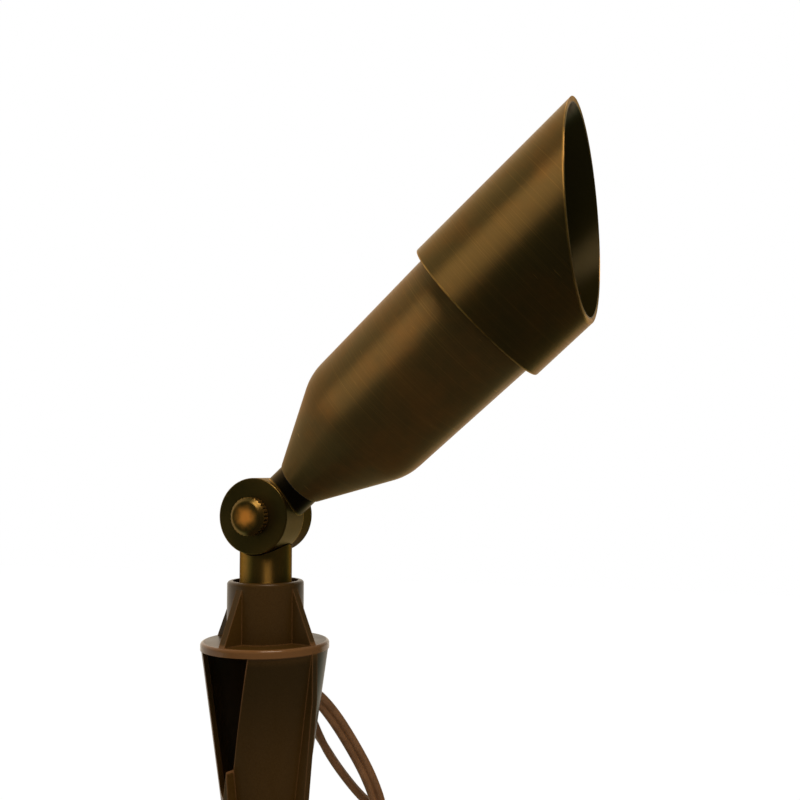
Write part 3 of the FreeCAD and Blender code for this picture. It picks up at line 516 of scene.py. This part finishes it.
def makeSpikeFinish(settings):
    finish, tree, surface = startFinish("spikePlastic")
    place = objectPlace(tree)
    grain = noise(tree, place, settings["grain"], 2)
    flow = noise(tree, objectPlace(tree, scale=settings["flow"]), 1, 2)
    dust = noise(tree, place, settings["dust"], 2)
    colour = mixColour(tree, ramp(tree, flow, 0.2, 0.8, (0, 0.5)), settings["colour"], settings["dusty"])
    colour = mixColour(tree, ramp(tree, grain, 0.3, 0.7, (0, 0.3)), colour, settings["speck"])
    height = add(tree, "ShaderNodeSeparateXYZ", None, {0: place}).outputs["Z"]
    low, high = settings["shade"]
    # painted shadow: the spike darkened for about 5 cm below the flange, most just under it
    flangeShadow = sums(tree, "MULTIPLY", ramp(tree, height, low, high, (0, 0.5)), ramp(tree, height, 0, high))
    colour = mixColour(tree, flangeShadow, colour, settings["flangeShadow"])
    # painted highlight: a paler band round the flange's rounded rim, where it catches the lamp
    rimStart, rimTop = settings["flange"]
    rim = sums(tree, "MULTIPLY", ramp(tree, fromAxis(tree), rimStart, rimStart + 0.0008),
               ramp(tree, height, -0.0006, 0.0004))
    rim = sums(tree, "MULTIPLY", rim, ramp(tree, height, rimTop + 0.002, rimTop + 0.001))
    colour = mixColour(tree, sums(tree, "MULTIPLY", rim, settings["rimShare"]), colour, settings["edge"])
    # edges rubbed paler, and partly a painted highlight where the rounded edges catch the lamp
    wearAndHighlight = sums(tree, "MULTIPLY", rubbedAndLitEdges(tree, settings["wornAndLitWidth"]), ramp(tree, dust, 0.35, 0.65, (0.5, 0.9)))
    colour = mixColour(tree, wearAndHighlight, colour, settings["edge"])
    link(tree, colour, surface.inputs["Base Color"])
    polish = ramp(tree, rim, 0, 1, (1, settings["rimPolish"]))
    rough = sums(tree, "MULTIPLY", ramp(tree, flow, 0.2, 0.8, settings["roughness"]), polish)
    link(tree, rough, surface.inputs["Roughness"])
    surface.inputs["Specular IOR Level"].default_value = settings["gloss"]
    bump(tree, surface, grain, settings["grainDepth"], 0.5)
    return finish


dress(makeSpikeFinish(spikeSettings), "ground_spike")


# other finishes, one function for each kind of material

metalSettings = {
    "lockNutBrass": {"colour": (0.52, 0.36, 0.14), "spread": 0.25, "roughness": (0.25, 0.42), "grain": 900},
    "contactBrass": {"colour": (0.55, 0.4, 0.17), "spread": 0.2, "roughness": (0.22, 0.36), "grain": 1500},
    "pinNickel": {"colour": (0.62, 0.6, 0.55), "spread": 0.12, "roughness": (0.18, 0.3), "grain": 1500},
    "screwZinc": {"colour": (0.56, 0.57, 0.58), "spread": 0.15, "roughness": (0.28, 0.42), "grain": 1200},
    "plateSteel": {
        "colour": (0.5, 0.5, 0.49), "spread": 0.18, "roughness": (0.28, 0.45), "grain": 700, "stretch": (1, 8, 1),
    },
    "tinnedCopper": {"colour": (0.72, 0.42, 0.24), "spread": 0.2, "roughness": (0.25, 0.4), "grain": 2500},
    "tungsten": {"colour": (0.32, 0.31, 0.3), "spread": 0.1, "roughness": (0.3, 0.45), "grain": 3000},
}
matteSettings = {
    "blackRubber": {
        "colour": (0.018, 0.018, 0.018), "spread": 0.35, "roughness": (0.55, 0.75), "grain": 900, "depth": 0.00006,
        "specular": 0.35,
    },
    "redSilicone": {
        "colour": (0.28, 0.06, 0.035), "spread": 0.25, "roughness": (0.45, 0.6), "grain": 800, "depth": 0.00004,
    },
    "paleCeramic": {
        "colour": (0.72, 0.69, 0.61), "spread": 0.1, "roughness": (0.45, 0.65), "grain": 1300, "depth": 0.00006,
    },
    "splicePlastic": {
        "colour": (0.5, 0.47, 0.38), "spread": 0.15, "roughness": (0.35, 0.5), "grain": 700, "depth": 0.00005,
    },
    "tiePlastic": {
        "colour": (0.02, 0.02, 0.021), "spread": 0.3, "roughness": (0.35, 0.5), "grain": 1100, "depth": 0.00005,
    },
    "lampShellGlass": {
        "colour": (0.5, 0.5, 0.5), "spread": 0.12, "roughness": (0.12, 0.25), "grain": 500, "depth": 0.00003,
        "metal": 0.6,
    },
}
glassSettings = {
    "lensGlass": {"tint": (0.9, 0.95, 0.93), "roughness": (0.02, 0.08)},
    "lampGlass": {"tint": (0.95, 0.97, 0.96), "roughness": (0.01, 0.04)},
    "quartz": {"tint": (0.96, 0.96, 0.94), "roughness": (0.02, 0.06)},
}
sleeveSettings = {
    "colour": (0.74, 0.71, 0.62),
    "pitch": 0.0007,        # metres between strands
    "cross": 35,            # degrees
}


def shaded(settings, way):
    # the colour made darker, -1, or paler, 1, by its spread
    return tuple(min(1, c * (1 + way * settings["spread"])) for c in settings["colour"])


def unevenTone(tree, settings, scale):
    cloud = noise(tree, objectPlace(tree), scale)
    return mixColour(tree, ramp(tree, cloud, 0.3, 0.7), shaded(settings, -1), shaded(settings, 1))


def makeMetal(name):
    settings = metalSettings[name]
    finish, tree, surface = startFinish(name)
    grain = noise(tree, objectPlace(tree, scale=settings.get("stretch", (1, 1, 1))), settings["grain"], 3, 0.6)
    link(tree, unevenTone(tree, settings, 140), surface.inputs["Base Color"])
    link(tree, ramp(tree, grain, 0.3, 0.7, settings["roughness"]), surface.inputs["Roughness"])
    surface.inputs["Metallic"].default_value = 1
    bump(tree, surface, grain, 0.00002, 0.4)
    return finish


def makeMatte(name):
    settings = matteSettings[name]
    finish, tree, surface = startFinish(name)
    grain = noise(tree, objectPlace(tree), settings["grain"], 4, 0.6)
    tone = unevenTone(tree, settings, settings["grain"] / 12)
    tone = mixColour(tree, ramp(tree, grain, 0.6, 0.8, (0, 0.4)), tone, shaded(settings, 1))
    link(tree, tone, surface.inputs["Base Color"])
    link(tree, ramp(tree, grain, 0.3, 0.7, settings["roughness"]), surface.inputs["Roughness"])
    surface.inputs["Metallic"].default_value = settings.get("metal", 0)
    surface.inputs["Specular IOR Level"].default_value = settings.get("specular", 0.5)
    bump(tree, surface, grain, settings["depth"], 0.5)
    return finish


def makeSleeve(name, settings):
    # woven glass-fibre sleeve: two crossed sets of strands
    finish, tree, surface = startFinish(name)
    place = objectPlace(tree, knuckle, headTurn)
    strands = []
    for turn in (math.radians(settings["cross"]), math.radians(-settings["cross"])):
        own = add(tree, "ShaderNodeMapping", None, {"Vector": place, "Rotation": (0, turn, turn)}).outputs[0]
        wave = add(tree, "ShaderNodeTexWave", {"wave_type": "BANDS", "bands_direction": "Z"}, {
            "Vector": own, "Scale": 1 / settings["pitch"] / 6.3, "Distortion": 0.6})
        strands.append(wave.outputs["Fac"])
    weave = sums(tree, "MAXIMUM", *strands)
    tone = mixColour(tree, weave, tuple(c * 0.6 for c in settings["colour"]), settings["colour"])
    link(tree, tone, surface.inputs["Base Color"])
    surface.inputs["Roughness"].default_value = 0.75
    bump(tree, surface, weave, 0.00012, 0.8)
    return finish


def makeGlass(name):
    settings = glassSettings[name]
    finish, tree, surface = startFinish(name)
    film = noise(tree, objectPlace(tree, knuckle, headTurn), 45, 5, 0.6)
    dots = noise(tree, objectPlace(tree), 700, 2)
    link(tree, mixColour(tree, film, settings["tint"], (1, 1, 1)), surface.inputs["Base Color"])
    link(tree, ramp(tree, film, 0.45, 0.75, settings["roughness"]), surface.inputs["Roughness"])
    surface.inputs["Transmission Weight"].default_value = 1
    surface.inputs["IOR"].default_value = 1.5
    bump(tree, surface, dots, 0.000004, 0.3)
    return finish


def dressSmallPieces():
    dress(makeMetal("lockNutBrass"), "neck_locknut")
    dress(makeMetal("contactBrass"), "holder_contacts")
    dress(makeMetal("pinNickel"), "lamp_pins")
    dress(makeMetal("screwZinc"), "holder_screws", "holder_posts")
    dress(makeMetal("plateSteel"), "holder_plate")
    dress(makeMetal("tinnedCopper"), "cord_ends")
    dress(makeMatte("blackRubber"), "stem_grommet", "knuckle_gasket", "neck_gasket",
          "collar_ring_rear", "collar_ring_front")
    dress(makeMatte("redSilicone"), "lens_gasket")
    dress(makeMatte("paleCeramic"), "lamp_base", "lamp_holder")
    dress(makeMatte("splicePlastic"), "lead_splices")
    dress(makeMatte("tiePlastic"), "cord_tie")
    dress(makeSleeve("glassSleeve", sleeveSettings), "holder_leads")
    dress(bpy.data.materials["cordSheath"], "stem_lead", "neck_lead")
    dress(makeGlass("lensGlass"), "lens")
    dress(makeGlass("lampGlass"), "lamp_cover_glass")
    print("small pieces dressed")


dressSmallPieces()


# lamp: a faceted reflector and a capsule with its filament, in place of the plain solids

lampSettings = {
    "front": 0.130,         # distances along the head's axis from the knuckle
    "back": 0.103,
    "lip": 0.0022,          # depth of the rim round the cover glass
    "rimRadius": 0.025,
    "neckRadius": 0.0086,
    "wall": 0.0015,
    "hole": 0.005,
    "rows": 9,
    "facets": 34,
    "capsuleRadius": 0.0042,
    "capsuleLength": 0.017,
    "capsuleWall": 0.0007,
    "filamentTurns": 9,
    "filamentRadius": 0.00045,
    "filamentHalf": 0.0016,     # half its width
    "filamentFoot": 0.0034,     # heights of its legs' ends and of the coil, from the back
    "filamentHeight": 0.0098,
    "wireRadius": 0.00009,
    "mirror": ((0.78, 0.79, 0.82), (0.9, 0.9, 0.91)),
}


def onRing(radius, along, share):
    # a point round the head's axis
    angle = 2 * math.pi * share
    return headPlace @ Vector((radius * math.cos(angle), radius * math.sin(angle), along))


def lathe(name, profile, steps):
    # profile: (radius, distance along the head's axis) pairs of a closed outline, turned about that axis
    corners = [onRing(radius, along, i / steps) for radius, along in profile for i in range(steps)]
    faces = []
    for r in range(len(profile)):
        s = (r + 1) % len(profile)
        for i in range(steps):
            j = (i + 1) % steps
            faces.append((r * steps + i, r * steps + j, s * steps + j, s * steps + i))
    return makePiece(name, corners, faces)


def bowlRadius(settings, along, inset):
    # the bowl widens quickly from its neck and more slowly towards its rim
    span = settings["front"] - settings["lip"] - settings["back"]
    share = min(max((along - settings["back"]) / span, 0), 1)
    edge = settings["rimRadius"] - inset
    neck = settings["neckRadius"] - inset
    return neck + (edge - neck) * share ** 0.62


def makeFacets(settings, low, high):
    # rings of three-sided facets, each ring turned half a facet against the last
    steps, rings = settings["facets"], settings["rows"]
    corners, faces = [], []
    for r in range(rings + 1):
        along = low + (high - low) * (r / rings) ** 1.2
        radius = bowlRadius(settings, along, settings["wall"]) if r else settings["hole"]
        corners += [onRing(radius, along, (i + r % 2 * 0.5) / steps) for i in range(steps)]
    for r in range(rings):
        for i in range(steps):
            a, b = r * steps + i, r * steps + (i + 1) % steps
            c, d = (r + 1) * steps + (i + 1) % steps, (r + 1) * steps + i
            faces += [(a, d, b), (b, d, c)] if r % 2 else [(a, d, c), (a, c, b)]
    return makePiece("lampFacets", corners, faces, smooth=False)


def makeShell(settings, low, high):
    # the reflector's body: its outside, its rim and the back of the mirror
    front, back, wall, lip = (settings[key] for key in ("front", "back", "wall", "lip"))
    rim = settings["rimRadius"]
    skin = [(settings["hole"], back), (settings["neckRadius"], back)]
    for r in range(1, 13):
        along = back + (front - lip - back) * r / 12
        skin.append((bowlRadius(settings, along, 0), along))
    skin += [(rim, front - 0.0005), (rim - 0.0004, front), (rim - wall + 0.0002, front), (rim - wall, front - lip)]
    for r in range(11, 0, -1):
        along = low + (high - low) * r / 12
        skin.append((bowlRadius(settings, along, wall - 0.0002), along - 0.0001))
    skin.append((settings["hole"], back + 0.0012))
    return lathe("lampShell", skin, 72)


def makeMirrorFinish(settings):
    finish, tree, surface = startFinish("facetMirror")
    speck = noise(tree, objectPlace(tree), 320, 4)
    tone = mixColour(tree, ramp(tree, speck, 0.4, 0.7), *settings["mirror"])
    link(tree, tone, surface.inputs["Base Color"])
    link(tree, ramp(tree, speck, 0.4, 0.8, (0.06, 0.14)), surface.inputs["Roughness"])
    surface.inputs["Metallic"].default_value = 1
    return finish


def makeReflector(settings):
    low, high = settings["back"] + settings["wall"], settings["front"] - settings["lip"]
    facets = makeFacets(settings, low, high)
    facets.data.materials.append(makeMirrorFinish(settings))
    shell = makeShell(settings, low, high)
    shell.data.materials.append(makeMatte("lampShellGlass"))
    for piece in (facets, shell):
        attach(piece, "head")
    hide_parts("lamp_reflector")


def makeCapsule(settings):
    radius, start, wall = settings["capsuleRadius"], settings["back"], settings["capsuleWall"]
    end = start + settings["capsuleLength"]
    outer = [
        (0.0001, start + 0.0001), (radius * 0.8, start + 0.0001), (radius, start + 0.0012), (radius, end - radius),
    ]
    for i in range(1, 7):
        angle = math.radians(15 * i)
        outer.append((max(radius * math.cos(angle), wall), end - radius + (radius - 0.0008) * math.sin(angle)))
    outer += [(0.0005, end - 0.0003), (0.0001, end)]
    inner = [(max(r - wall, 0.00008), s + (0.003 if s < start + 0.002 else -wall)) for r, s in reversed(outer)]
    capsule = lathe("lampQuartz", outer + inner, 32)
    capsule.data.materials.append(makeGlass("quartz"))
    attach(capsule, "head")
    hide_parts("lamp_capsule")


def makeFilament(settings):
    # a small coil across the capsule, on two straight legs
    foot, middle = settings["back"] + settings["filamentFoot"], settings["back"] + settings["filamentHeight"]
    half, coil, steps = settings["filamentHalf"], settings["filamentRadius"], settings["filamentTurns"] * 8
    points = [(0, -half, foot)]
    for i in range(steps + 1):
        angle = 2 * math.pi * i / 8
        points.append((coil * math.cos(angle), -half + 2 * half * i / steps, middle + coil * math.sin(angle)))
    points.append((0, half, foot))
    curve = bpy.data.curves.new("filamentWire", "CURVE")
    curve.dimensions = "3D"
    curve.bevel_depth = settings["wireRadius"]
    curve.bevel_resolution = 2
    spline = curve.splines.new("POLY")
    spline.points.add(len(points) - 1)
    for place, point in zip(spline.points, points):
        place.co = (*(headPlace @ Vector(point)), 1)
    wire = bpy.data.objects.new("lampFilament", curve)
    scene.collection.objects.link(wire)
    wire.data.materials.append(makeMetal("tungsten"))
    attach(wire, "head")


makeReflector(lampSettings)
makeCapsule(lampSettings)
makeFilament(lampSettings)
print("lamp built")


# floor, world and lamp

stageSettings = {
    "floor": -0.1956,
    "size": 4,
    "paper": (0.7, 0.7, 0.7, 1),
    "white": 0.95,          # share of the floor that shows as plain white to the camera
    "floorWhite": 1.05,
    "behind": 1.1,          # what polished metal sees behind the object
    "before": 0.035,        # and on the camera's side
    "below": (0.02, 1.0),   # and in the floor, from near to far
    "farWay": (-0.8, 0.6, 0),
    "fade": (-0.12, 0.4),   # metres that way, where near ends and far begins
    "around": 0.2,          # what lights the rough surfaces
    "dim": (0.55, 1.1, 0.75),           # tints that polished metal sees on the dark and the pale side
    "warm": (1, 0.88, 0.72),
    "paleSide": (-0.75, 0.66, -0.05),   # the way to the pale backdrop
}


def rayKinds(tree):
    path = add(tree, "ShaderNodeLightPath")
    return path, sums(tree, "MAXIMUM", path.outputs["Is Glossy Ray"], path.outputs["Is Transmission Ray"])


def makeFloor(settings):
    half = settings["size"] / 2
    sides = ((-half, -half), (half, -half), (half, half), (-half, half))
    floor = makePiece("floor", [(x, y, settings["floor"]) for x, y in sides], [(0, 1, 2, 3)])
    finish, tree, surface = startFinish("floorPaper")
    surface.inputs["Base Color"].default_value = settings["paper"]
    surface.inputs["Roughness"].default_value = 0.9
    surface.inputs["Specular IOR Level"].default_value = 0.1
    path, mirrored = rayKinds(tree)
    seen = sums(tree, "MAXIMUM", path.outputs["Is Camera Ray"], mirrored)
    away = vectorSums(tree, "DOT_PRODUCT", objectPlace(tree), settings["farWay"])
    far = ramp(tree, away, *settings["fade"])
    below = ramp(tree, far, 0, 1, settings["below"])
    glossy = path.outputs["Is Glossy Ray"]
    level = mixLevel(tree, glossy, settings["floorWhite"], below)
    tint = mixColour(tree, glossy, (1, 1, 1), mixColour(tree, far, settings["dim"], settings["warm"]))
    white = add(tree, "ShaderNodeEmission", None, {"Color": tint, "Strength": level}).outputs[0]
    share = sums(tree, "MULTIPLY", seen, settings["white"])
    both = add(tree, "ShaderNodeMixShader", None, {0: share, 1: surface.outputs[0], 2: white}).outputs[0]
    link(tree, both, tree.nodes["Material Output"].inputs["Surface"])
    floor.data.materials.append(finish)


def makeWorld(settings):
    world = bpy.data.worlds.new("studio")
    scene.world = world
    world.use_nodes = True
    tree = world.node_tree
    back = tree.nodes["Background"]
    path, mirrored = rayKinds(tree)
    way = add(tree, "ShaderNodeTexCoord").outputs["Generated"]
    side = vectorSums(tree, "DOT_PRODUCT", way, settings["paleSide"])
    glow = ramp(tree, side, -0.1, 0.9, (settings["before"], settings["behind"]))
    level = mixLevel(tree, mirrored, settings["around"], glow)
    level = mixLevel(tree, path.outputs["Is Camera Ray"], level, 1.0)
    link(tree, level, back.inputs["Strength"])
    tint = mixColour(tree, ramp(tree, side, -0.1, 0.5), settings["dim"], settings["warm"])
    tint = mixColour(tree, mirrored, (1, 1, 1), tint)
    link(tree, tint, back.inputs["Color"])


# one soft lamp overhead and a little in front
topLampSettings = {
    "aim": (0.06, 0, 0.08),
    "way": (0.29, -0.262, 0.92),
    "distance": 1.2,
    "size": 0.75,
    "power": 13,
    "colour": (1, 0.8, 0.62),
}


def makeLamp(name, settings):
    lamp = bpy.data.objects.new(name, bpy.data.lights.new(name, "AREA"))
    scene.collection.objects.link(lamp)
    way = Vector(settings["way"])
    lamp.location = Vector(settings["aim"]) + way.normalized() * settings["distance"]
    lamp.rotation_mode = "QUATERNION"
    lamp.rotation_quaternion = way.to_track_quat("Z", "Y")
    lamp.data.shape = "DISK"
    lamp.data.size = settings["size"]
    lamp.data.energy = settings["power"]
    lamp.data.color = settings["colour"]


makeFloor(stageSettings)
makeWorld(stageSettings)
makeLamp("topLamp", topLampSettings)
print("stage lit")
